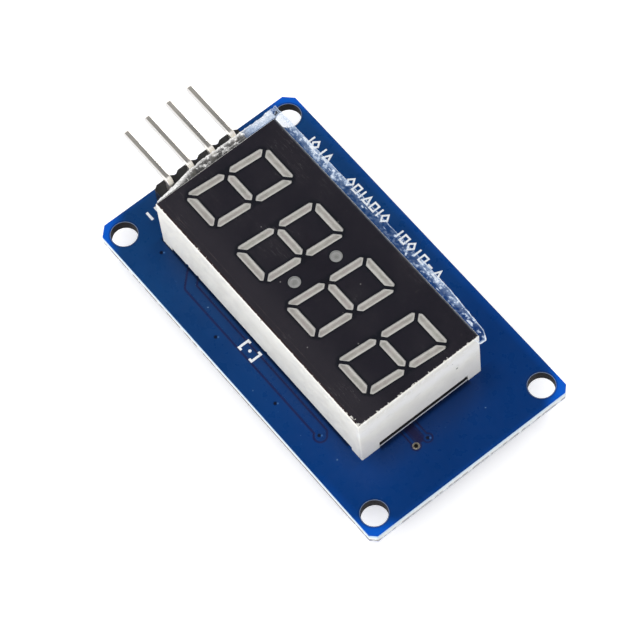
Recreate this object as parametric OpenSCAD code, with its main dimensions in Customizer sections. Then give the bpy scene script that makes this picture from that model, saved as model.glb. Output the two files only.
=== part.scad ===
// Four-digit seven-segment clock display module: a blue circuit board on four
// mounting holes, a white LED display with a black face and a colon, a row of
// four bent header pins, and a driver chip with its small parts underneath.
// X runs from the header end to the far end, Y across the board, Z up.
// The origin is the middle of the mounting holes on the underside of the board.

/* [Board] */
// Length of the board along X
board_l = 42; // [41:0.5:48]
// Width of the board along Y
board_w = 23.6; // [23.2:0.1:28]
// Thickness of the board with its solder mask
board_t = 1.2; // [0.8:0.1:1.6]
// Thickness of the solder mask on each side
resist_t = 0.05; // [0.03:0.01:0.1]
// Corner cut at the header end
cut_header_end = 0.9; // [0.3:0.1:1.3]
// Corner cut at the far end
cut_far_end = 0.6; // [0.3:0.1:1.3]

/* [Mounting holes] */
// Distance of the mounting holes from the board's ends
hole_inset_x = 2; // [1.8:0.1:2.5]
// Distance of the mounting holes from the board's long sides
hole_inset_y = 1.8; // [1.6:0.05:2.3]
// Diameter of each mounting hole
hole_d = 2.6; // [2:0.1:3]
// Width of the bare ring that the mask leaves round each hole
hole_rim = 0.08; // [0.04:0.01:0.2]

/* [Display shell] */
// Plastic left beyond the outer digits' share of the shell
end_margin = 0.05; // [0:0.05:0.5]
// Gap between the display and the header's plastic
header_gap = 1.35; // [0.5:0.05:2]
// Width of the shell along Y
shell_w = 14.3; // [13.8:0.1:15]
// Height of the display's face over the board
shell_h = 7.2; // [6:0.1:9]
// Place of the centre line of display and header along Y
display_y = -0.4; // [-0.8:0.1:0.5]
// Thickness of the shell's skirt
skirt_t = 0.8; // [0.6:0.05:1]
// Gap under the skirt of a long side
skirt_gap_long = 0.48; // [0.3:0.02:0.5]
// Height of the skirt's lower edge at a short side
skirt_gap_short = 1.05; // [0.8:0.05:1.3]
// Length of each foot along the long side
foot_l = 1.5; // [1:0.1:2]
// Length of the near feet along the short side
foot_near_w = 2.1; // [1.5:0.1:2.5]
// Length of the far feet along the short side
foot_far_w = 1.6; // [1.2:0.1:2.5]
// Width of the nicks in the near skirt's lower edge
nick_w = 0.3; // [0.2:0.05:0.5]
// Height of those nicks
nick_h = 0.22; // [0.1:0.02:0.4]
// Bevel round the top edge of the shell
shell_bevel = 0.12; // [0.05:0.01:0.2]
// Radius of the shell's upright edges
shell_corner_r = 0.15; // [0.1:0.05:0.3]

/* [Display face] */
// Thickness of the black ink on the face
ink_t = 0.04; // [0.02:0.01:0.06]
// White rim left at the ends and at the near side
ink_rim = 0.1; // [0.05:0.01:0.15]
// White rim left at the far side
ink_rim_far = 0.21; // [0.1:0.01:0.3]
// Thickness of the clear protective film
film_t = 0.08; // [0.05:0.01:0.12]
// Overhang of the film past the header side
film_over_header = 0.95; // [0.3:0.05:1.5]
// Overhang of the film past the far side
film_over_far = 1; // [0.3:0.05:1.5]
// Overhang of the film's corner past the far end
film_over_end = 0.75; // [0.3:0.05:1]

/* [Digits] */
// Distance from one digit to the next
digit_pitch = 7.55; // [7.3:0.05:7.6]
// Height of a digit over its strokes
digit_h = 9.25; // [8.8:0.05:9.8]
// Width of a digit over its strokes, before its slant
digit_w = 4.87; // [4.5:0.01:5.2]
// Width of a stroke
stroke = 0.83; // [0.7:0.01:1]
// Gap between two segments, across the mitre
segment_gap = 0.33; // [0.2:0.01:0.4]
// Cut across the outer corners of a digit
digit_corner = 0.66; // [0.4:0.02:0.8]
// Rounding of the segments' corners
segment_round = 0.08; // [0.05:0.01:0.12]
// Slant of the digits in degrees
slant = 5; // [0:0.5:8]
// Depth of a segment's surface below the face
segment_recess = 0.12; // [0.06:0.01:0.2]
// Width of a cavity at its foot as a share of its mouth
cavity_foot = 0.55; // [0.45:0.05:0.8]
// Diameter of a colon dot
dot_d = 1.1; // [0.9:0.05:1.3]
// Distance between the colon dots
dot_pitch = 4.62; // [4:0.02:5]
// Side of a square LED die
die_w = 0.3; // [0.2:0.02:0.34]
// Thickness of an LED die
die_t = 0.2; // [0.1:0.01:0.3]

/* [Display substrate and pins] */
// Thickness of the display's own white board
substrate_t = 0.47; // [0.45:0.01:0.6]
// Gap between that board and the main board
substrate_gap = 0.05; // [0.05:0.01:0.15]
// Step from the skirt's face back to the substrate's edge
substrate_inset = 0.04; // [0.02:0.01:0.2]
// Clearance between substrate and skirt
substrate_fit = 0.05; // [0.02:0.01:0.1]
// Distance between the two rows of display pins
row_spacing = 10.16; // [9.5:0.02:11]
// Diameter of a display pin
display_pin_d = 0.5; // [0.4:0.02:0.6]
// Length of a display pin below the board
display_tail = 2.1; // [1.8:0.1:2.2]

/* [Header] */
// Distance between two pins of header and display
pin_spacing = 2.54; // [2.5:0.01:2.6]
// Width of the header's plastic along X
header_w = 2.5; // [2.3:0.05:2.6]
// Height of the header's plastic
header_h = 2.54; // [2.3:0.02:2.8]
// Distance from the board's end to the pins
header_inset = 2.3; // [2.1:0.05:2.4]
// Depth of the V notches between two pins
notch_depth = 0.3; // [0.2:0.02:0.4]
// Width of the V notches at their mouth
notch_w = 0.9; // [0.6:0.05:1.1]
// Side of a square pin
pin_w = 0.64; // [0.6:0.01:0.66]
// Height of the bent part's centre line over the board
pin_run_z = 4.18; // [3.8:0.02:5]
// Reach of the pins past the board's end
pin_reach = 4.5; // [3:0.1:8]
// Bend radius of a pin at its centre line
pin_bend_r = 0.5; // [0.45:0.05:0.8]
// Bevel on the tip of a pin
pin_tip = 0.14; // [0.08:0.01:0.2]
// Length of a header pin below the board
pin_tail = 2.1; // [1.8:0.1:2.2]

/* [Plated holes and joints] */
// Thickness of the copper
copper_t = 0.05; // [0.03:0.01:0.1]
// Width of the copper ring round a pin's hole
ring_w = 0.42; // [0.3:0.02:0.5]
// Clearance of a pin in its plated hole
pin_fit = 0.06; // [0.04:0.01:0.1]
// Height of a solder joint
joint_h = 1; // [0.8:0.05:1.1]
// Diameter of a via's bore
via_d = 0.3; // [0.2:0.05:0.4]
// Depth of the marks that buried copper leaves in the mask
relief = 0.02; // [0.01:0.005:0.025]
// Width of the groove along each side of a track
groove_w = 0.18; // [0.1:0.01:0.25]

/* [Driver chip] */
// Length of the chip's body along X
chip_l = 8.65; // [8.5:0.05:8.8]
// Width of the chip's body along Y
chip_w = 3.9; // [3.7:0.1:4]
// Height of the chip below the board
chip_h = 1.75; // [1.5:0.05:1.8]
// Gap between chip and board
chip_gap = 0.1; // [0.05:0.01:0.2]
// Span over the chip's leads
lead_span = 6; // [5.9:0.05:6.2]
// Pitch of the chip's leads
lead_pitch = 0.635; // [0.6:0.005:0.65]
// Leads on each side of the chip
leads_per_side = 10; // [8:1:12]
// Width of a lead
lead_w = 0.25; // [0.2:0.01:0.3]
// Thickness of a lead
lead_t = 0.2; // [0.15:0.01:0.22]
// Distance from the display's centre to the chip's centre
chip_shift = 8; // [6:0.5:9]

/* [Small parts] */
// Length of a chip capacitor or resistor
smd_l = 1.6; // [1.5:0.05:2]
// Width of a chip capacitor or resistor
smd_w = 0.8; // [0.7:0.05:1]
// Height of a chip capacitor
capacitor_t = 0.8; // [0.6:0.05:1]
// Height of a chip resistor
resistor_t = 0.45; // [0.35:0.05:0.6]
// Length of a metal end cap
cap_l = 0.32; // [0.25:0.01:0.4]
// Wall of a metal end cap
cap_t = 0.03; // [0.02:0.01:0.05]

/* [Hidden] */

$fn = 48;
eps = 0.01;
through = 1;

// Counts that the wiring fixes
digits = 4;
pins_in_row = 6;
header_pins = 4;

// Pattern of the mounting holes
hole_spacing_x = board_l - 2 * hole_inset_x;
hole_spacing_y = board_w - 2 * hole_inset_y;

// Levels of the board's layers
mask_top_z = board_t - resist_t;
laminate_t = board_t - 2 * resist_t;

// Header row, from the board's end
header_x = -board_l / 2 + header_inset;
pin_tip_x = -board_l / 2 - pin_reach;
pin_run_level = board_t + pin_run_z;

// Length of the shell, and its place beside the header
shell_l = digits * digit_pitch + 2 * end_margin;
display_x = header_x + header_w / 2 + header_gap + shell_l / 2;
shell_end_x = display_x + shell_l / 2;

// Levels of the display
face_z = board_t + shell_h;
ink_z = face_z - ink_t;
segment_z = face_z - segment_recess;
substrate_z = board_t + substrate_gap;
block_z = substrate_z + substrate_t;

// Places of the nicks along the shell, from its centre
NICKS = [-13.5, -11.2, -9.6, 0.9];

// Opening between the feet of a short side, from the display's centre line
slit_near_y = -shell_w / 2 + foot_near_w;
slit_far_y = shell_w / 2 - foot_far_w;

// Half the width and half the height of a digit between its centre lines
half_w = (digit_w - stroke) / 2;
half_h = (digit_h - stroke) / 2;
// Distance from a centre line's corner to the point of a mitred segment
mitre = segment_gap / sqrt(2);

// Bores of the plated holes
pin_bore_r = pin_w / sqrt(2) + pin_fit;
display_bore_r = display_pin_d / 2 + pin_fit;

// Vias as [x, y, open], where an open one has its ring free of the mask
via_end_gap = 2.1;
via_open_gap = 2.05;
via_wide = [9.6, -8.95, false];
via_end_a = [shell_end_x + via_end_gap, -1.45, false];
via_end_b = [shell_end_x + via_open_gap, -2.8, true];
VIAS = [
  via_wide, via_end_a, via_end_b,
  [-15.1, -8.49, false], [-4.65, -10.05, false], [4.4, -10.05, false]
];
via_ring = 0.17;

// The broad buried track beside the display and the pair past its end
broad_track_w = 0.86;
broad_track_start = [-10.4, -8.6];
broad_track_run_in = 2.2;
thin_track_w = 0.26;

// Place and body of the driver chip and the shape of its leads
chip_x = display_x + chip_shift;
chip_body_h = chip_h - chip_gap;
lead_z = -chip_gap - chip_body_h / 2;
lead_shoulder = 0.3;
lead_lean = 0.12;
pad_margin = 0.15;
chip_draft = 0.15;
chip_mark_d = 0.7;
chip_mark_depth = 0.1;

// Small parts under the board as [x, y]: a pair of rows beside the header
// and a capacitor by the chip
part_up = 2.6;
part_down = 2.4;
capacitor_off = 7.5;
resistor_off = 4.7;
chip_part_off = 2.35;
chip_part_inset = 4;
CAPACITORS = [
  [header_x + capacitor_off, display_y + part_up],
  [header_x + capacitor_off, display_y - part_down],
  [chip_x + chip_part_off, board_w / 2 - chip_part_inset]
];
RESISTORS = [
  [header_x + resistor_off, display_y + part_up],
  [header_x + resistor_off, display_y - part_down]
];

// ---------------------------------------------------------------- places

function slanted(p) = [p[0] + p[1] * tan(slant), p[1]];
function digit_x(i) = (i - (digits - 1) / 2) * digit_pitch;
function header_y(i) = display_y + (i - (header_pins - 1) / 2) * pin_spacing;
function display_pin_x(i) = display_x + (i % pins_in_row - (pins_in_row - 1) / 2) * pin_spacing;
function display_pin_y(i) = display_y + (i < pins_in_row ? -0.5 : 0.5) * row_spacing;

module at_mounting_holes() {
  for (sx = [-0.5, 0.5], sy = [-0.5, 0.5])
    translate([sx * hole_spacing_x, sy * hole_spacing_y, 0]) children();
}

module at_header_pins() {
  for (i = [0 : header_pins - 1]) translate([header_x, header_y(i), 0]) children();
}

module at_display_pins() {
  for (i = [0 : 2 * pins_in_row - 1])
    translate([display_pin_x(i), display_pin_y(i), 0]) children();
}

module at_vias() {
  for (v = VIAS) translate([v[0], v[1], 0]) children();
}

module at_open_vias() {
  for (v = VIAS)
    if (v[2]) translate([v[0], v[1], 0]) children();
}

module at_display() {
  translate([display_x, display_y, 0]) children();
}

// ----------------------------------------------------------------- board

module board_outline() {
  x = board_l / 2;
  y = board_w / 2;
  polygon([
    [-x, cut_header_end - y], [cut_header_end - x, -y],
    [x - cut_far_end, -y], [x, cut_far_end - y],
    [x, y - cut_far_end], [x - cut_far_end, y],
    [cut_header_end - x, y], [-x, y - cut_header_end]
  ]);
}

module bore(d) {
  translate([0, 0, -through]) cylinder(h = board_t + 2 * through, d = d);
}

// One layer of the board with the mounting holes bored through it
module board_layer(z, t, bore_d) {
  difference() {
    translate([0, 0, z]) linear_extrude(height = t) board_outline();
    at_mounting_holes() bore(bore_d);
  }
}

// Openings that a layer leaves round the plated holes
module pin_openings(margin) {
  at_header_pins() bore(2 * (pin_bore_r + copper_t + margin));
  at_display_pins() bore(2 * (display_bore_r + copper_t + margin));
}

module laminate() {
  color("wheat")
    difference() {
      board_layer(resist_t, laminate_t, hole_d);
      pin_openings(0);
      at_vias() bore(via_d + 2 * copper_t);
    }
}

// Flat outline of the buried tracks, grown on every side
module tracks(grow) {
  broad = broad_track_w / 2 + grow;
  translate([broad_track_start[0], broad_track_start[1] - broad])
    square([via_wide[0] - broad_track_start[0], 2 * broad]);
  translate(broad_track_start) {
    circle(r = broad);
    rotate(135) translate([0, -broad]) square([broad_track_run_in, 2 * broad]);
  }
  translate([via_wide[0], via_wide[1]]) circle(r = broad);
  thin = thin_track_w / 2 + grow;
  start_x = shell_end_x - skirt_t;
  for (v = [via_end_a, via_end_b]) {
    translate([start_x, v[1] - thin]) square([v[0] - start_x, 2 * thin]);
    translate([v[0], v[1]]) circle(r = via_d / 2 + via_ring + grow);
  }
}

// Bare laminate between the two tracks past the display's end
module bare_strip() {
  start_x = shell_end_x - skirt_t;
  translate([start_x, via_end_b[1]])
    square([via_end_b[0] - via_ring - start_x, via_end_a[1] - via_end_b[1]]);
}

module track_marks() {
  translate([0, 0, board_t - relief])
    linear_extrude(height = relief + eps)
      difference() {
        union() {
          tracks(groove_w);
          bare_strip();
        }
        tracks(0);
      }
}

module solder_mask_top() {
  color("royalblue")
    difference() {
      board_layer(mask_top_z, resist_t, hole_d + 2 * hole_rim);
      pin_openings(ring_w);
      at_open_vias() bore(via_d + 2 * (copper_t + via_ring));
      at_vias()
        translate([0, 0, board_t - relief]) cylinder(h = relief + eps, d = via_d);
      track_marks();
    }
}

module solder_mask_bottom() {
  color("royalblue")
    difference() {
      board_layer(0, resist_t, hole_d + 2 * hole_rim);
      pin_openings(ring_w);
      at_vias() bore(via_d + 2 * (copper_t + via_ring));
      translate([0, 0, -eps]) linear_extrude(height = resist_t + 2 * eps) pad_outlines();
    }
}

// Copper barrel through the laminate, its rings flush with the solder mask
module barrel(bore_r, ring, has_top) {
  outer_r = bore_r + copper_t;
  difference() {
    union() {
      translate([0, 0, resist_t]) cylinder(h = laminate_t, r = outer_r);
      cylinder(h = resist_t, r = outer_r + ring);
      if (has_top)
        translate([0, 0, mask_top_z]) cylinder(h = resist_t, r = outer_r + ring);
    }
    bore(2 * bore_r);
  }
}

module plated_holes() {
  color("goldenrod") {
    at_header_pins() barrel(pin_bore_r, ring_w, true);
    at_display_pins() barrel(display_bore_r, ring_w, true);
    for (v = VIAS)
      translate([v[0], v[1], 0]) barrel(via_d / 2, via_ring, v[2]);
  }
}

// ---------------------------------------------------------------- digits
// A segment is a stroke whose ends are mitred at 45 degrees along the lines
// that join the corners of the digit. Points are about the digit's centre,
// upright first and slanted last.

// Middle segment, pointed at both ends
function middle_points() =
  let (point = half_w - mitre, flat = point - stroke / 2)
  [
    [flat, -stroke / 2], [point, 0], [flat, stroke / 2],
    [-flat, stroke / 2], [-point, 0], [-flat, -stroke / 2]
  ];

// How far the tip of a mitred end stands off the two centre lines
corner_out = (mitre + stroke - digit_corner) / 2;
corner_back = (mitre - stroke + digit_corner) / 2;

// Top segment, shorter inside, with the digit's outer corners cut off
function top_points() =
  let (
    inner = half_w - mitre - stroke / 2,
    tip = half_w - corner_back,
    outer = half_w + stroke / 2 - digit_corner
  )
  [
    [inner, half_h - stroke / 2], [tip, half_h + corner_out], [outer, half_h + stroke / 2],
    [-outer, half_h + stroke / 2], [-tip, half_h + corner_out], [-inner, half_h - stroke / 2]
  ];

// Upper segment on the right, pointed at the digit's middle
function upright_points() =
  let (
    low = mitre + stroke / 2,
    inner = half_h - mitre - stroke / 2,
    tip = half_h - corner_back,
    outer = half_h + stroke / 2 - digit_corner
  )
  [
    [half_w - stroke / 2, low], [half_w, mitre], [half_w + stroke / 2, low],
    [half_w + stroke / 2, outer], [half_w + corner_out, tip], [half_w - stroke / 2, inner]
  ];

function turned(points, sx, sy) = [for (p = points) [sx * p[0], sy * p[1]]];

// The seven segments as [centre, points]
SEGMENTS = [
  [[0, half_h], top_points()],
  [[half_w, half_h / 2], upright_points()],
  [[half_w, -half_h / 2], turned(upright_points(), 1, -1)],
  [[0, -half_h], turned(top_points(), 1, -1)],
  [[-half_w, -half_h / 2], turned(upright_points(), -1, -1)],
  [[-half_w, half_h / 2], turned(upright_points(), -1, 1)],
  [[0, 0], middle_points()]
];

// Outline of one segment about its own centre
module segment_outline(segment) {
  offset(r = segment_round, $fn = 12)
    offset(delta = -segment_round)
      translate(-slanted(segment[0]))
        polygon([for (p = segment[1]) slanted(p)]);
}

// Funnel from the die on the substrate up to the outline at the face
module segment_funnel(segment) {
  translate(concat(slanted(segment[0]), block_z))
    linear_extrude(height = segment_z - block_z, scale = 1 / cavity_foot)
      scale(cavity_foot)
        segment_outline(segment);
}

module segment_mouth(segment) {
  translate(concat(slanted(segment[0]), segment_z - eps))
    linear_extrude(height = segment_recess + 2 * eps)
      segment_outline(segment);
}

module at_dots() {
  for (side = [-0.5, 0.5])
    translate(slanted([0, side * dot_pitch])) children();
}

module dot_funnel() {
  translate([0, 0, block_z])
    cylinder(h = segment_z - block_z, d1 = cavity_foot * dot_d, d2 = dot_d);
}

module dot_mouth() {
  translate([0, 0, segment_z - eps]) cylinder(h = segment_recess + 2 * eps, d = dot_d);
}

module die() {
  translate([-die_w / 2, -die_w / 2, block_z]) cube([die_w, die_w, die_t]);
}

module digit_dies() {
  for (segment = SEGMENTS) translate(slanted(segment[0])) die();
}

// The seven blocks of clear resin that fill one digit's cavities
module digit(i) {
  color("lightgray")
    at_display()
      translate([digit_x(i), 0, 0])
        difference() {
          for (segment = SEGMENTS) segment_funnel(segment);
          digit_dies();
        }
}

module colon_dots() {
  color("lightgray")
    at_display()
      at_dots()
        difference() {
          dot_funnel();
          die();
        }
}

module led_dies() {
  color("gold")
    at_display() {
      for (i = [0 : digits - 1]) translate([digit_x(i), 0, 0]) digit_dies();
      at_dots() die();
    }
}

// --------------------------------------------------------- display shell

// Block with upright edges rounded and its top edge bevelled
module shell_block() {
  h = ink_z - board_t;
  intersection() {
    translate([0, 0, board_t]) rounded_block(h);
    bevelled_bar(shell_l, shell_w, h);
    rotate(90) bevelled_bar(shell_w, shell_l, h);
  }
}

module rounded_block(h) {
  x = shell_l / 2 - shell_corner_r;
  y = shell_w / 2 - shell_corner_r;
  translate([-shell_l / 2, -y, 0]) cube([shell_l, 2 * y, h]);
  translate([-x, -shell_w / 2, 0]) cube([2 * x, shell_w, h]);
  for (sx = [-x, x], sy = [-y, y])
    translate([sx, sy, 0]) cylinder(h = h, r = shell_corner_r);
}

// Bar along X whose two upper edges are bevelled
module bevelled_bar(l, w, h) {
  translate([-l / 2, 0, board_t])
    rotate([90, 0, 90])
      linear_extrude(height = l)
        polygon([
          [-w / 2, 0], [w / 2, 0], [w / 2, h - shell_bevel],
          [w / 2 - shell_bevel, h], [shell_bevel - w / 2, h], [-w / 2, h - shell_bevel]
        ]);
}

// What is cut away below: the bed of the substrate and the gaps between feet
module shell_cuts() {
  low = board_t - eps;
  bed_l = shell_l - 2 * skirt_t;
  bed_w = shell_w - 2 * skirt_t;
  translate([-bed_l / 2, -bed_w / 2, low]) cube([bed_l, bed_w, block_z - low]);
  gap_l = shell_l - 2 * foot_l;
  translate([-gap_l / 2, -shell_w / 2 - eps, low])
    cube([gap_l, shell_w + 2 * eps, skirt_gap_long + eps]);
  for (x = NICKS)
    translate([x - nick_w / 2, -shell_w / 2 - eps, low])
      cube([nick_w, nick_w + eps, skirt_gap_long + nick_h + eps]);
  for (side = [-1, 1])
    translate([side * (shell_l - skirt_t + eps) / 2, (slit_near_y + slit_far_y) / 2, low])
      translate([-(skirt_t + eps) / 2, -(slit_far_y - slit_near_y) / 2, 0])
        cube([skirt_t + eps, slit_far_y - slit_near_y, skirt_gap_short + eps]);
}

module display_shell() {
  color("white")
    at_display()
      difference() {
        shell_block();
        shell_cuts();
        for (i = [0 : digits - 1], segment = SEGMENTS)
          translate([digit_x(i), 0, 0]) {
            segment_funnel(segment);
            segment_mouth(segment);
          }
        at_dots() {
          dot_funnel();
          dot_mouth();
        }
      }
}

module face_ink() {
  color("black")
    at_display()
      difference() {
        translate([ink_rim - shell_l / 2, ink_rim - shell_w / 2, ink_z])
          cube([shell_l - 2 * ink_rim, shell_w - ink_rim - ink_rim_far, ink_t]);
        for (i = [0 : digits - 1], segment = SEGMENTS)
          translate([digit_x(i), 0, 0]) segment_mouth(segment);
        at_dots() dot_mouth();
      }
}

// Clear film laid over the face, flush at the near and far ends and past
// the edge elsewhere
module protective_film() {
  x = shell_l / 2;
  y = shell_w / 2;
  color("lightblue", 0.4)
    at_display()
      translate([0, 0, face_z])
        linear_extrude(height = film_t)
          polygon([
            [ink_rim - x, ink_rim - y], [x, ink_rim - y], [x, y - 0.6],
            [x + film_over_end, y - 0.45], [x + film_over_end, y + 0.25], [x, y + 0.55],
            [-0.5 * x, y + film_over_far], [-x - film_over_header, y + 0.85],
            [-x - film_over_header, 0.25 * y], [-x - 0.35, -0.65 * y]
          ]);
}

module display_substrate() {
  bed_l = shell_l - 2 * (skirt_t + substrate_fit);
  bed_w = shell_w - 2 * (skirt_t + substrate_fit);
  tongue_l = shell_l - 2 * substrate_inset;
  tongue_w = slit_far_y - slit_near_y - 2 * substrate_fit;
  color("ivory")
    difference() {
      at_display()
        translate([0, 0, substrate_z])
          linear_extrude(height = substrate_t) {
            square([bed_l, bed_w], center = true);
            translate([0, (slit_near_y + slit_far_y) / 2])
              square([tongue_l, tongue_w], center = true);
          }
      at_display_pins()
        translate([0, 0, substrate_z - eps])
          cylinder(h = substrate_t + 2 * eps, d = display_pin_d);
    }
}

// ------------------------------------------------------------- the pins

module display_pin(i) {
  color("silver")
    translate([display_pin_x(i), display_pin_y(i), -display_tail])
      cylinder(h = block_z + display_tail, d = display_pin_d);
}

// Solder cone under the board with the plug that fills the plated hole
module joint_body(bore_r, top_r) {
  cylinder(h = mask_top_z + resist_t, r = bore_r);
  translate([0, 0, -joint_h])
    cylinder(h = joint_h, r1 = top_r, r2 = bore_r + copper_t + ring_w - eps);
}

module display_solder() {
  color("silver")
    at_display_pins()
      difference() {
        joint_body(display_bore_r, display_pin_d / 2 + pin_fit);
        translate([0, 0, -display_tail]) cylinder(h = block_z + display_tail, d = display_pin_d);
      }
}

module header_solder() {
  color("silver")
    at_header_pins()
      difference() {
        joint_body(pin_bore_r, pin_w * 0.75);
        translate([-pin_w / 2, -pin_w / 2, -pin_tail])
          cube([pin_w, pin_w, board_t + pin_tail + through]);
      }
}

// Bar of linked octagons, one for each pin
module header_outline() {
  length = header_pins * pin_spacing;
  difference() {
    translate([-header_w / 2, -length / 2]) square([header_w, length]);
    for (i = [0 : header_pins], side = [-1, 1])
      translate([side * header_w / 2, i * pin_spacing - length / 2])
        polygon([[0, -notch_w / 2], [-side * notch_depth, 0], [0, notch_w / 2],
          [side * through, notch_w], [side * through, -notch_w]]);
  }
}

module header_base() {
  color("black")
    difference() {
      translate([header_x, display_y, board_t])
        linear_extrude(height = header_h) header_outline();
      at_header_pins()
        translate([-pin_w / 2, -pin_w / 2, 0])
          cube([pin_w, pin_w, board_t + header_h + eps]);
    }
}

// Side view of a pin: up through the header, round the bend and outward
module pin_side_view() {
  s = pin_w / 2;
  bend_x = header_x - pin_bend_r;
  bend_z = pin_run_level - pin_bend_r;
  polygon([
    [header_x + s, bend_z], [header_x - s, bend_z], [header_x - s, pin_tip - pin_tail],
    [header_x - s + pin_tip, -pin_tail], [header_x + s - pin_tip, -pin_tail],
    [header_x + s, pin_tip - pin_tail]
  ]);
  intersection() {
    translate([bend_x, bend_z])
      difference() {
        circle(r = pin_bend_r + s);
        circle(r = pin_bend_r - s);
      }
    translate([bend_x, bend_z]) square(2 * pin_bend_r + s);
  }
  polygon([
    [bend_x, pin_run_level - s], [bend_x, pin_run_level + s],
    [pin_tip_x + pin_tip, pin_run_level + s], [pin_tip_x, pin_run_level + s - pin_tip],
    [pin_tip_x, pin_run_level - s + pin_tip], [pin_tip_x + pin_tip, pin_run_level - s]
  ]);
}

// The same pin from above, which bevels the sides of its outer tip
module pin_top_view() {
  s = pin_w / 2;
  polygon([
    [header_x + s, -s], [header_x + s, s], [pin_tip_x + pin_tip, s],
    [pin_tip_x, s - pin_tip], [pin_tip_x, pin_tip - s], [pin_tip_x + pin_tip, -s]
  ]);
}

// And from the front, which bevels the sides of its tail
module pin_front_view() {
  s = pin_w / 2;
  top = pin_run_level + pin_w;
  polygon([
    [s, top], [-s, top], [-s, pin_tip - pin_tail], [pin_tip - s, -pin_tail],
    [s - pin_tip, -pin_tail], [s, pin_tip - pin_tail]
  ]);
}

module header_pin(i) {
  color("silver")
    translate([0, header_y(i), 0])
      intersection() {
        rotate([90, 0, 0])
          linear_extrude(height = 2 * pin_w, center = true) pin_side_view();
        translate([0, 0, -pin_tail - through])
          linear_extrude(height = pin_run_level + pin_tail + 2 * through) pin_top_view();
        translate([pin_tip_x - through, 0, 0])
          rotate([90, 0, 90])
            linear_extrude(height = header_x - pin_tip_x + 2 * through) pin_front_view();
      }
}

// ----------------------------------------------------------- driver chip

// Moulded body, widest where the leads come out
module driver_chip() {
  low = -chip_h;
  top = -chip_gap;
  color("dimgray")
    at_chip()
      difference() {
        intersection() {
          rotate([90, 0, 90])
            linear_extrude(height = chip_l, center = true) chip_section(chip_w, low, top);
          rotate([90, 0, 0])
            linear_extrude(height = chip_w, center = true) chip_section(chip_l, low, top);
        }
        translate([chip_mark_d - chip_l / 2, chip_mark_d - chip_w / 2 + chip_draft, low - eps])
          cylinder(h = chip_mark_depth + eps, d = chip_mark_d);
      }
}

module at_chip() {
  translate([chip_x, display_y, 0]) children();
}

module chip_section(w, low, top) {
  half = w / 2;
  polygon([
    [chip_draft - half, low], [half - chip_draft, low], [half, lead_z],
    [half - chip_draft, top], [chip_draft - half, top], [-half, lead_z]
  ]);
}

// Gull-wing lead, from the body's widest line out and up to its pad
module lead_profile() {
  t = lead_t / 2;
  bend = chip_w / 2 + lead_shoulder;
  foot = bend + lead_lean;
  polygon([
    [chip_w / 2 - chip_draft, lead_z - t], [bend + lead_t, lead_z - t],
    [foot + lead_t, -lead_t], [lead_span / 2, -lead_t], [lead_span / 2, 0],
    [foot, 0], [bend, lead_z + t], [chip_w / 2 - chip_draft, lead_z + t]
  ]);
}

module at_leads() {
  at_chip()
    for (i = [0 : leads_per_side - 1])
      translate([(i - (leads_per_side - 1) / 2) * lead_pitch, 0, 0]) children();
}

module chip_leads() {
  color("silver")
    difference() {
      at_leads()
        for (side = [90, -90])
          rotate([90, 0, side])
            linear_extrude(height = lead_w, center = true) lead_profile();
      at_chip()
        rotate([90, 0, 90])
          linear_extrude(height = chip_l, center = true)
            chip_section(chip_w, -chip_h, -chip_gap);
    }
}

// ----------------------------------------------------------- small parts

// Ceramic body of a chip part lying along Y, inside its two end caps
module smd_body(place, t) {
  translate([place[0] - smd_w / 2 + cap_t, place[1] - smd_l / 2 + cap_t, cap_t - t])
    cube([smd_w - 2 * cap_t, smd_l - 2 * cap_t, t - 2 * cap_t]);
}

module smd_end_caps(place, t) {
  difference() {
    for (side = [-1, 1])
      translate([place[0] - smd_w / 2, place[1] + side * (smd_l - cap_l) / 2 - cap_l / 2, -t])
        cube([smd_w, cap_l, t]);
    smd_body(place, t);
  }
}

module capacitor(i) {
  color("tan") smd_body(CAPACITORS[i], capacitor_t);
}

module resistor(i) {
  color("black") smd_body(RESISTORS[i], resistor_t);
}

module end_caps() {
  color("silver") {
    for (place = CAPACITORS) smd_end_caps(place, capacitor_t);
    for (place = RESISTORS) smd_end_caps(place, resistor_t);
  }
}

// Flat outlines of the pads under the chip's leads and the small parts
module pad_outlines() {
  foot = chip_w / 2 + lead_shoulder + lead_lean;
  at_leads()
    for (side = [-1, 1])
      translate([0, side * (foot + lead_span / 2) / 2])
        square([lead_w + pad_margin, lead_span / 2 - foot + 2 * pad_margin], center = true);
  for (place = concat(CAPACITORS, RESISTORS), side = [-1, 1])
    translate([place[0], place[1] + side * (smd_l - cap_l) / 2])
      square([smd_w + pad_margin, cap_l + 2 * pad_margin], center = true);
}

module solder_pads() {
  color("silver") linear_extrude(height = resist_t) pad_outlines();
}

// --------------------------------------------------------------- drawing

laminate();
solder_mask_top();
solder_mask_bottom();
plated_holes();
display_shell();
face_ink();
protective_film();
digit(0);  // digit_1
digit(1);  // digit_2
digit(2);  // digit_3
digit(3);  // digit_4
colon_dots();
led_dies();
display_substrate();
display_pin(0);  // display_pin_1
display_pin(1);  // display_pin_2
display_pin(2);  // display_pin_3
display_pin(3);  // display_pin_4
display_pin(4);  // display_pin_5
display_pin(5);  // display_pin_6
display_pin(6);  // display_pin_7
display_pin(7);  // display_pin_8
display_pin(8);  // display_pin_9
display_pin(9);  // display_pin_10
display_pin(10);  // display_pin_11
display_pin(11);  // display_pin_12
display_solder();
header_base();
header_pin(0);  // header_pin_1
header_pin(1);  // header_pin_2
header_pin(2);  // header_pin_3
header_pin(3);  // header_pin_4
header_solder();
driver_chip();
chip_leads();
capacitor(0);  // capacitor_1
capacitor(1);  // capacitor_2
capacitor(2);  // capacitor_3
resistor(0);  // resistor_1
resistor(1);  // resistor_2
end_caps();
solder_pads();
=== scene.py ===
import math

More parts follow.
